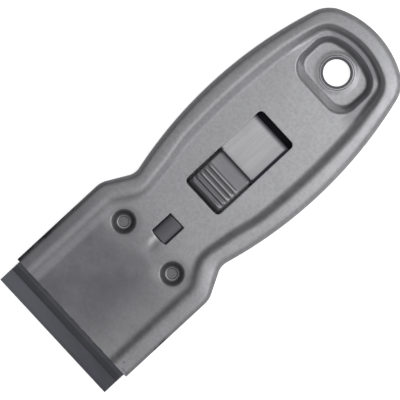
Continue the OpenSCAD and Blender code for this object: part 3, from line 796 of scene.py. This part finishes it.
class ScraperSizes(bpy.types.PropertyGroup):
    """Sizes of the finished pieces that a maker would change."""

    slope_soft: bpy.props.FloatProperty(
        name="Softness of the rim", description="Share of the rim's slope that is rounded", default=0.36,
        min=0.1, max=0.5, subtype="FACTOR",
    )
    roll_holder: bpy.props.FloatProperty(
        name="Roll at the holder", description="Radius of the rim's outer roll beside the blade",
        default=1.3 * MM, unit="LENGTH", subtype="DISTANCE",
    )
    roll_handle: bpy.props.FloatProperty(
        name="Roll at the handle", description="Width of the rim's outer roll along the handle",
        default=1.8 * MM, unit="LENGTH", subtype="DISTANCE",
    )
    dent: bpy.props.FloatProperty(
        name="Dent at the window", description="Depth of the small dent beside the latch window",
        default=0.4 * MM, unit="LENGTH", subtype="DISTANCE",
    )
    lean: bpy.props.FloatProperty(
        name="Lean of the bead",
        description="Fall of the bead from its crest to its outer roll, at the handle",
        default=0.85 * MM, unit="LENGTH", subtype="DISTANCE",
    )
    rib_h: bpy.props.FloatProperty(
        name="Grip rib height", description="Height of the button's grip ribs", default=0.5 * MM,
        unit="LENGTH", subtype="DISTANCE",
    )


class ScraperFinish(bpy.types.PropertyGroup):
    """Colours of the steels and the level of the light."""

    shell: bpy.props.FloatVectorProperty(
        name="Shells", description="Colour of the satin shell steel", default=(0.42, 0.42, 0.435),
        size=3, min=0.0, max=1.0, subtype="COLOR",
    )
    spring: bpy.props.FloatVectorProperty(
        name="Spring", description="Colour of the brushed spring steel", default=(0.42, 0.42, 0.435),
        size=3, min=0.0, max=1.0, subtype="COLOR",
    )
    button: bpy.props.FloatVectorProperty(
        name="Button", description="Colour of the thumb button", default=(0.22, 0.22, 0.232),
        size=3, min=0.0, max=1.0, subtype="COLOR",
    )
    blade: bpy.props.FloatVectorProperty(
        name="Blade", description="Colour of the oiled blade steel", default=(0.107, 0.110, 0.129),
        size=3, min=0.0, max=1.0, subtype="COLOR",
    )
    key: bpy.props.FloatProperty(
        name="Key light", description="Power of the soft key light", default=0.16, unit="POWER",
    )


class SCRAPER_OT_front_shell(bpy.types.Operator):
    """Models the front shell: rim bead, panel, slot, window, dimples and hanging pocket"""

    bl_idname = "scraper.front_shell"
    bl_label = "Front Shell"

    def rim(self, sizes):
        """Rows from the shell's lower edge up the outer roll, over the bead and down to the panel."""
        widths = RIM_WIDTHS
        outer = stations(outline(HOLDER_W / 2, NECK_W / 2, HANDLE_W / 2, SHOULDER_Y, BODY_L, RIM_RADII))
        inner = stations(outline(
            HOLDER_W / 2 - widths["holder"], NECK_W / 2 - widths["neck"], HANDLE_W / 2 - widths["side"],
            SHOULDER_Y - widths["holder"] * math.tan(SHOULDER_A / 2), BODY_L - widths["end"],
            (PANEL_SHOULDER_R, RIM_RADII[1] + widths["neck"], PANEL_CORNER_R, RIM_RADII[3] - widths["end"]),
        ))

        def step_in(y):
            """How far the slope's foot lies inside its plan, at the holder and neck and at the far end."""
            front = 0.75 + 0.1 * between(y, *NECK_ZONE)
            return front * (1 - between(y, 42, 52)) + 0.45 * between(y, 82, 90) - 0.25 * between(y, 94, 98)

        inner = [(foot - normal * step_in(foot.y), normal) for foot, normal in inner]
        tops = []
        for foot, normal in inner:
            wider = 0.75 * (1 - between(foot.y, *NECK_ZONE)) - 1.2 * between(foot.y, *END_ZONE)
            tops.append(foot + normal * (SLOPE_W + wider))

        def bead(y):
            """Width and height of the outer roll, and the fall of the bead from its crest to the roll."""
            handle = between(y, 24, 38)
            end = between(y, *END_ZONE)
            wide = sizes.roll_holder / MM * (1 - handle) + sizes.roll_handle / MM * handle - 0.3 * end
            return wide, min(wide, 1.6), 0.45 * (1 - handle) + sizes.lean / MM * handle - 0.2 * end

        def bead_row(turn, step):
            """A row round the outer roll by the angle turn, then by step from the roll to the crest."""
            row = []
            for (place, _), top in zip(outer, tops):
                wide, high, lean = bead(place.y)
                roll = wide * (1 - math.cos(turn)) / (top - place).length
                share = roll + (1 - roll) * step
                spot = place.lerp(top, share)
                z = BEAD_Z - lean * (1 - share) ** 1.5 - high * (1 - math.sin(turn))
                row.append(point(spot.x, spot.y, z))
            return both_sides(row)

        def slope_row(t):
            """A row at a share of the slope, from the bead's crest down to the panel."""
            row = []
            for (place, _), top in zip(inner, tops):
                spot = top.lerp(place, t)
                fall = BEAD_Z - land(place.y)
                soft = min(0.5, sizes.slope_soft + 0.14 * (1 - between(place.y, 30, 42)))
                row.append(point(spot.x, spot.y, BEAD_Z - fall * eased(t, soft)))
            return both_sides(row)

        def flat_row(inset):
            """A row on the panel, inside the slope's foot."""
            spots = [place - normal * inset for place, normal in inner]
            return both_sides([point(spot.x, spot.y, land(spot.y)) for spot in spots])

        foot = both_sides([point(place.x, place.y, 0.0) for place, _ in outer])
        roll_rows = [bead_row(math.pi / 2 * i / 10, 0.0) for i in range(11)]
        crown_rows = [bead_row(math.pi / 2, i / 6) for i in range(1, 6)]
        slope_rows = [slope_row(i / 14) for i in range(14)]
        return [foot] + roll_rows + crown_rows + slope_rows + [flat_row(0.0), flat_row(0.06)]

    def pocket(self):
        """Rows from the panel down the dished walls to the floor, and in to the hole."""
        # How far the dish's upper edge lies outside its floor, and how soft its slope is
        front, side, back, soft = 3.0, 1.95, 2.0, 0.4
        # Height and outer radius of the swell round the flange of the eyelet
        swell_h, swell_r = 0.34, 5.7
        rows = []
        for t in (-0.05, -0.015, *[i / 16 for i in range(17)]):
            left = 1 - t
            fall = eased(t, soft)
            line = pocket_line(front * left, side * left, back * left, POCKET_R + side * left)
            rows.append([
                point(p.x, p.y, land(p.y) - (land(p.y) - POCKET_FLOOR_Z) * fall) for p in line
            ])
        floor = pocket_line(0, 0, 0, POCKET_R)
        centre = Vector((0.0, HOLE_Y))
        flange_r = HOLE_R + 2 * EYELET_T + 0.07
        for i in range(1, 9):
            row = []
            for p in floor:
                spot = p.lerp(centre + (p - centre).normalized() * flange_r, i / 8)
                swell = swell_h * between((spot - centre).length, swell_r, flange_r)
                row.append(point(spot.x, spot.y, POCKET_FLOOR_Z + swell))
            rows.append(row)
        for radius in (flange_r - 0.05, HOLE_R + EYELET_T + 0.05):
            rim = [centre + (p - centre).normalized() * radius for p in floor]
            rows.append(level_row(rim, POCKET_FLOOR_Z))
        return rows

    def slot(self):
        """Rows over the rounded edge of the button's slot."""
        rows = []
        for grow, drop in ((0.5, 0.0), (0.3, 0.0), (0.08, 0.0), (0.03, 0.02), (0.0, 0.08)):
            line = rounded_box(SLOT_W / 2 + grow, SLOT_Y - grow, SLOT_Y + SLOT_L + grow, SLOT_R + grow)
            rows.append(level_row(line, PANEL_Z - drop))
        return rows

    def window(self, sizes):
        """Rows from the panel in to the latch window's edge, with the small dent beside it."""
        # Middle of the dent, and how much longer than wide it is
        dent_x, dent_y, dent_l = 0.3, 27.4, 1.9
        shares = (1, 0.92, 0.84, 0.76, 0.68, 0.6, 0.52, 0.44, 0.36, 0.28, 0.2, 0.13)
        rows = []
        for share, drop in [(share, 0.0) for share in shares] + [(0.05, 0.03), (0, 0.1)]:
            row = []
            for p in window_line(1.7 * share, 4.0 * share, 1.5 * share):
                off = Vector((p.x - dent_x, (p.y - dent_y) / dent_l))
                dent = sizes.dent / MM * math.exp(-off.dot(off)) if share < 1 else 0.0
                row.append(point(p.x, p.y, PANEL_Z - drop - dent))
            rows.append(row)
        return rows

    def dimple(self, x):
        """Rows down into the rivet's dimple at x, from a profile of radius and depth."""
        profile = [
            (3.5, 0.0), (3.4, 0.0), (3.25, 0.02), (3.12, 0.07), (2.99, 0.16), (2.87, 0.31), (2.76, 0.52),
            (2.65, 0.8), (2.55, 1.12), (2.45, 1.46), (2.35, 1.78), (2.25, 2.04), (2.15, 2.22), (2.02, 2.34),
            (1.85, 2.4), (1.35, 2.4),
        ]
        return [ring(x, RIVET_Y, radius, PANEL_Z - drop, DIMPLE_STEPS) for radius, drop in profile]

    def mouth(self, piece, corners):
        """Joins the rim's two ends across the mouth by an edge that is cut a little unevenly."""
        bpy.ops.mesh.select_all(action="DESELECT")
        mesh = bmesh.from_edit_mesh(piece.data)
        for vert in mesh.verts:
            if any((vert.co - corner).length < TOUCH * MM for corner in corners):
                vert.select_set(True)
        bmesh.update_edit_mesh(piece.data)
        bpy.ops.mesh.edge_face_add()
        bpy.ops.mesh.subdivide(number_cuts=MOUTH_CUTS)
        half = abs(corners[0].x)
        for vert in bmesh.from_edit_mesh(piece.data).verts:
            x = vert.co.x / MM
            if vert.select and abs(vert.co.x) < half - MM * 0.1:
                vert.co.y += (0.05 * math.sin(1.3 * x + 0.4) + 0.04 * math.sin(3.1 * x)) * MM
        bmesh.update_edit_mesh(piece.data)

    def execute(self, context):
        sizes = context.scene.scraper_sizes
        piece = start_piece("front_shell_steel")
        rim = self.rim(sizes)
        skin(rim, closed=False)
        self.mouth(piece, [rim[-1][0], rim[-1][-1]])
        for rows in (self.pocket(), self.slot(), self.window(sizes)):
            skin(rows)
        for x in (-RIVET_X, RIVET_X):
            skin(self.dimple(x))

        def bounds_panel(edge):
            """Whether an edge belongs to the panel's outline or to one of its openings."""
            places = [(v.co.y / MM + MIDDLE_Y, v.co.z / MM) for v in edge.verts]
            flat = all(abs(z - land(y)) < TOUCH for y, z in places)
            at_mouth = all(abs(y) < TOUCH for y, _ in places)
            return flat and (edge.is_wire or (edge.is_boundary and not at_mouth))

        select_edges(bounds_panel)
        bpy.ops.mesh.fill(use_beauty=True)
        close_up(sheet=True)
        material = steel(
            "Satin shell steel", tuple(context.scene.scraper_finish.shell), 0.46, GRAIN_ACROSS,
            extra=shell_tones_and_painted_light,
        )
        # The inner side of the wall takes the near-black inner steel, which is painted shade
        finish_piece(piece, "casing", [material, inner_shade_steel()], ["front_shell"], wall=SHEET)
        return {"FINISHED"}


class SCRAPER_OT_back_shell(bpy.types.Operator):
    """Breaks the edges of the back shell and gives it its satin finish"""

    bl_idname = "scraper.back_shell"
    bl_label = "Back Shell"

    def execute(self, context):
        piece = copy_of("back_shell", "back_shell_steel")
        colour = shaded(tuple(context.scene.scraper_finish.shell), 0.93)
        finishes = [steel("Satin back steel", colour, 0.44, GRAIN_ACROSS), inner_shade_steel(), worn_steel()]
        for made in finishes:
            piece.data.materials.append(made)
        # Painted shade: the back shell's upward inner faces take the near-black inner steel
        inside = (HOLDER_W / 2 - 2) * MM
        for face in bmesh.from_edit_mesh(piece.data).faces:
            middle = face.calc_center_median()
            if face.normal.z > 0.5 and middle.z > 0.4 * MM and abs(middle.x) < inside:
                face.material_index = 1
        bmesh.update_edit_mesh(piece.data)
        finish_piece(piece, "casing", finishes, ["back_shell"], bevel=0.12)
        return {"FINISHED"}


def lathe(name, x, y, profile, closed):
    """Turns a profile of radius and height, in millimetres, about an upright axis at x, y."""
    piece = start_piece(name)
    rows = [ring(x, y, radius, z, TURN_STEPS) for radius, z in profile]
    if closed:
        rows.append(rows[0])
    skin(rows)
    if not closed:
        cap_ends()
    close_up()
    return piece


class SCRAPER_OT_rivets(bpy.types.Operator):
    """Turns the two shell rivets, with a ring pressed into each head, and the rolled hanging eyelet"""

    bl_idname = "scraper.rivets"
    bl_label = "Rivets and Eyelet"

    def execute(self, context):
        finish = context.scene.scraper_finish
        head = steel(
            "Rivet steel", shaded(tuple(finish.shell), 0.36), 0.40, GRAIN_NONE, spread=0.12,
            extra=rivet_highlight_and_shade,
        )
        profile = [
            (1.55, 1.9), (1.74, 1.95), (1.8, 2.06), (1.8, 2.32), (1.74, 2.39), (1.3, 2.4), (1.3, 3.6),
            (1.72, 3.6), (1.8, 3.68), (1.8, 3.86), (1.76, 3.98), (1.68, 4.06), (1.58, 4.1), (1.5, 4.09),
            (1.42, 4.04), (1.36, 3.98), (1.3, 3.95), (0.9, 3.96), (0.3, 3.97),
        ]
        for x, node in ((-RIVET_X, "left_rivet"), (RIVET_X, "right_rivet")):
            piece = lathe(node + "_turned", x, RIVET_Y, profile, False)
            finish_piece(piece, "casing", [head], [node])
        rolled_steel = steel(
            "Eyelet steel", shaded(tuple(finish.shell), 0.95), 0.42, GRAIN_NONE, spread=0.06,
            extra=eyelet_edge_shade,
        )
        low, high = SHEET, 3 * SHEET
        outer = HOLE_R + 2 * EYELET_T
        barrel = HOLE_R + EYELET_T
        roll = EYELET_T - 0.05
        turns = [math.pi / 12 * i for i in range(7)]
        near = [
            (HOLE_R + roll / 2 * (1 - math.cos(a)), high + roll / 2 * (1 + math.sin(a))) for a in turns
        ]
        far = [(HOLE_R + outer - radius, z) for radius, z in reversed(near)]
        under = [
            (outer, high), (barrel, high), (barrel, low), (outer, low), (outer, low - roll * 0.7),
            (outer - 0.14, low - roll), (HOLE_R + roll / 2, low - roll), (HOLE_R + 0.07, low - roll * 0.8),
            (HOLE_R, low - roll * 0.5),
        ]
        piece = lathe("hang_eyelet_rolled", 0.0, HOLE_Y, near + far + under, True)
        finish_piece(piece, "casing", [rolled_steel], ["hang_eyelet"])
        return {"FINISHED"}


class SCRAPER_OT_carrier(bpy.types.Operator):
    """Breaks the edges of the carrier plate, blade clamp, spine and small rivets, and finishes the blade"""

    bl_idname = "scraper.carrier"
    bl_label = "Carrier and Blade"

    def execute(self, context):
        finish = context.scene.scraper_finish
        shell = tuple(finish.shell)
        dark = tuple(finish.blade)
        plate = steel("Carrier steel", shaded(shell, 0.8), 0.42, GRAIN_ALONG)
        clamp = steel(
            "Clamp steel", shaded(dark, 0.9), 0.46, GRAIN_ACROSS, metallic=0.6, spread=0.22,
            extra=clamp_mottle_and_shade,
        )
        blade = steel("Blade steel", dark, 0.40, GRAIN_BLADE, metallic=0.6, spread=0.08, extra=blade_tints_and_shade)
        spine = steel("Spine metal", (0.5, 0.5, 0.51), 0.4, GRAIN_ACROSS, spread=0.08)
        rivet = steel("Small rivet steel", shaded(shell, 0.8), 0.36, GRAIN_SMALL)
        made = (
            ("slide_plate", "carrier_steel", plate, 0.1),
            ("blade_clamp", "clamp_steel", clamp, 0.08),
            ("blade", "blade_steel", blade, 0.0),
            ("blade_spine", "spine_metal", spine, 0.08),
            ("left_clamp_rivet", "rivet_steel", rivet, 0.1),
            ("right_clamp_rivet", "rivet_steel", rivet, 0.1),
            ("left_spring_rivet", "rivet_steel", rivet, 0.1),
            ("right_spring_rivet", "rivet_steel", rivet, 0.1),
        )
        for node, slot, material, bevel in made:
            piece = copy_of(node, node + "_finished")
            finish_piece(piece, "carriage", [material, worn_steel()], [node], bevel=bevel)
        return {"FINISHED"}


class SCRAPER_OT_spring(bpy.types.Operator):
    """Cuts the latch spring into bands, lengthens its plate and breaks its edges"""

    bl_idname = "scraper.spring"
    bl_label = "Latch Spring"

    def execute(self, context):
        piece = copy_of("latch_spring", "latch_spring_bent")
        far = BUTTON_Y + BUTTON_L
        bands, band = 13, 0.5
        for i in range(bands):
            bpy.ops.mesh.select_all(action="SELECT")
            bpy.ops.mesh.bisect(plane_co=point(0, far - band + i * band, 0), plane_no=(0, 1, 0))
        tip = point(0, SPRING_END_Y - 1.2, 0).y
        for vert in bmesh.from_edit_mesh(piece.data).verts:
            if vert.co.y > tip:
                vert.co.y += SPRING_REACH * MM
        bmesh.update_edit_mesh(piece.data)
        material = steel(
            "Spring steel", tuple(context.scene.scraper_finish.spring), 0.38, GRAIN_ALONG, spread=0.14,
            bump=0.006, extra=spring_shade_marks,
        )
        finish_piece(piece, None, [material], ["latch_spring"], bevel=0.14)
        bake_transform(piece)
        return {"FINISHED"}


class SCRAPER_OT_button(bpy.types.Operator):
    """Presses the thumb button: sloping front, grip ribs and a round far end"""

    bl_idname = "scraper.button"
    bl_label = "Thumb Button"

    def execute(self, context):
        rib_h = context.scene.scraper_sizes.rib_h / MM
        top = BUTTON_Z - rib_h
        steps = 90

        def height(y, ridge):
            """Top of the button at a distance from its front."""
            front = 1.15 * (1 - min(1.0, y / 1.1)) ** 1.6
            back = corner_fall(BUTTON_L - y, 1.2)
            phase = (y - RIB_FIRST) / RIB_PITCH
            inside = -0.5 < phase < RIBS - 0.5
            rib = rib_h * (0.5 + 0.5 * math.cos(math.tau * phase)) if inside else 0.0
            lean = 0.5 * max(0.0, 1 - y / 8) ** 2
            return top - lean - front - back + rib * ridge

        def base(p):
            """The place on the button's lower edge under p."""
            return Vector((p.x, p.y, SPRING_TOP_Z * MM))

        rows = []
        insets = [0.0, 0.12, 0.3, 0.55, 0.85, 1.2, 1.6, 2.4, 3.6]
        sides = [BUTTON_W / 2 - inset for inset in insets]
        for x in [-side for side in sides] + sides[::-1]:
            inset = BUTTON_W / 2 - abs(x)
            pull = corner_fall(inset, 1.0)
            drop = corner_fall(inset, 0.6)
            ridge = between(inset, 0.3, 1.3)
            row = []
            for i in range(steps + 1):
                y = BUTTON_L * i / steps
                shrunk = BUTTON_L / 2 + (y - BUTTON_L / 2) * (1 - 2 * pull / BUTTON_L)
                row.append(point(x, BUTTON_Y + shrunk, height(y, ridge) - drop))
            rows.append([base(row[0]), *row, base(row[-1])])
        left, right = [[base(p) for p in row] for row in (rows[0], rows[-1])]
        piece = start_piece("thumb_button_pressed")
        skin([left, *rows, right], closed=False)
        close_up(sheet=True)
        material = steel(
            "Button steel", tuple(context.scene.scraper_finish.button), 0.36, GRAIN_ACROSS, spread=0.12,
            extra=button_highlights_and_shade,
        )
        # The inner side of the button's wall takes the near-black inner steel, which is painted shade
        finish_piece(piece, "latch", [material, inner_shade_steel()], ["thumb_button"], wall=0.5)
        return {"FINISHED"}


class SCRAPER_OT_stage(bpy.types.Operator):
    """Lays the floor, hangs the lights and sets the camera above the tool"""

    bl_idname = "scraper.stage"
    bl_label = "Stage"

    def execute(self, context):
        bpy.ops.object.select_all(action="DESELECT")
        bpy.ops.mesh.primitive_plane_add(size=6.0, location=(0, 0, -0.0002))
        floor = bpy.context.object
        floor.name = "floor"
        floor.data.materials.append(self.floor_material())
        bpy.ops.object.transform_apply(location=True, rotation=True, scale=True)
        self.world(context)
        self.lamp("Key light", (0.095, 0.10, 0.19), 0.16, context.scene.scraper_finish.key)
        self.lamp("Fill light", (-0.25, -0.20, 0.55), 0.5, 0.3)
        camera_data = bpy.data.cameras.new("Camera")
        camera_data.lens = 400
        camera_data.sensor_width = 36
        camera_data.clip_end = 20
        camera = bpy.data.objects.new("Camera", camera_data)
        context.collection.objects.link(camera)
        camera.location = (0.00012, -0.00518, 1.1045)
        camera.rotation_euler = (0.0, 0.0, math.radians(47.22))
        context.scene.camera = camera
        context.scene.view_settings.view_transform = "Standard"
        return {"FINISHED"}

    def floor_material(self):
        """White card that the camera and the steel see bright, with the tool's shadow on it."""
        material, tree, shader, where = new_material("White card")
        path = add(tree, "ShaderNodeLightPath").outputs
        mirrored = math_node(tree, "MAXIMUM", path["Is Glossy Ray"], path["Is Transmission Ray"])
        mirrored = math_node(tree, "MULTIPLY", mirrored, 0.15)
        seen = math_node(tree, "MULTIPLY", path["Is Camera Ray"], 0.8)
        fill(tree, shader, {
            "Base Color": (0.6, 0.6, 0.6, 1.0),
            "Roughness": ranged(tree, noise(tree, where, 60.0, 3.0), 0.3, 0.7, 0.78, 0.84),
            "Emission Color": (1.0, 1.0, 1.0, 1.0),
            "Emission Strength": math_node(tree, "MAXIMUM", seen, mirrored),
        })
        return material

    def world(self, context):
        """White to the camera. The steel sees a soft studio, bright on the key light's side."""
        world = context.scene.world or bpy.data.worlds.new("World")
        context.scene.world = world
        world.use_nodes = True
        tree = world.node_tree
        tree.nodes.clear()
        direction = add(tree, "ShaderNodeTexCoord").outputs["Generated"]
        lit = vector_node(tree, "DOT_PRODUCT", direction, (0.54, 0.33, 0.77))["Value"]
        up = add(tree, "ShaderNodeSeparateXYZ", {0: direction}).outputs["Z"]
        bright = ranged(tree, lit, 0.05, 0.85, 0.12, 1.15)
        studio = math_node(tree, "MULTIPLY", bright, ranged(tree, up, -0.05, 0.55, 0.15, 1.0))
        seen = add(tree, "ShaderNodeLightPath").outputs["Is Camera Ray"]
        level = add(tree, "ShaderNodeMix", {"Factor": seen, "A": studio, "B": 1.0})
        background = add(tree, "ShaderNodeBackground", {"Strength": level.outputs["Result"]})
        add(tree, "ShaderNodeOutputWorld", {"Surface": background.outputs[0]})

    def lamp(self, name, place, size, power):
        """Hangs a round soft light at a place, in metres, and aims it at the middle of the tool."""
        data = bpy.data.lights.new(name, "AREA")
        data.shape = "DISK"
        data.size = size
        data.energy = power
        lamp = bpy.data.objects.new(name, data)
        bpy.context.collection.objects.link(lamp)
        lamp.location = place
        lamp.rotation_euler = (-Vector(place)).to_track_quat("-Z", "Y").to_euler()


STEPS = (
    SCRAPER_OT_stage,
    SCRAPER_OT_front_shell,
    SCRAPER_OT_back_shell,
    SCRAPER_OT_rivets,
    SCRAPER_OT_carrier,
    SCRAPER_OT_spring,
    SCRAPER_OT_button,
)


class SCRAPER_PT_panel(bpy.types.Panel):
    """Lists the scraper's sizes, finishes and pieces"""

    bl_idname = "SCRAPER_PT_panel"
    bl_label = "Hob Scraper"
    bl_space_type = "VIEW_3D"
    bl_region_type = "UI"
    bl_category = "Scraper"

    def draw(self, context):
        for group in (context.scene.scraper_sizes, context.scene.scraper_finish):
            box = self.layout.box()
            for name in group.bl_rna.properties.keys():
                if name not in ("rna_type", "name"):
                    box.prop(group, name)
        for step in STEPS:
            self.layout.operator(step.bl_idname)


CLASSES = (ScraperSizes, ScraperFinish, *STEPS, SCRAPER_PT_panel)


def register():
    for cls in CLASSES:
        bpy.utils.register_class(cls)
    bpy.types.Scene.scraper_sizes = bpy.props.PointerProperty(type=ScraperSizes)
    bpy.types.Scene.scraper_finish = bpy.props.PointerProperty(type=ScraperFinish)


def unregister():
    del bpy.types.Scene.scraper_finish
    del bpy.types.Scene.scraper_sizes
    for cls in reversed(CLASSES):
        bpy.utils.unregister_class(cls)


def main():
    register()
    bpy.ops.scraper.stage()
    bpy.ops.scraper.front_shell()
    bpy.ops.scraper.back_shell()
    bpy.ops.scraper.rivets()
    bpy.ops.scraper.carrier()
    bpy.ops.scraper.spring()
    bpy.ops.scraper.button()


if __name__ == "__main__":
    main()
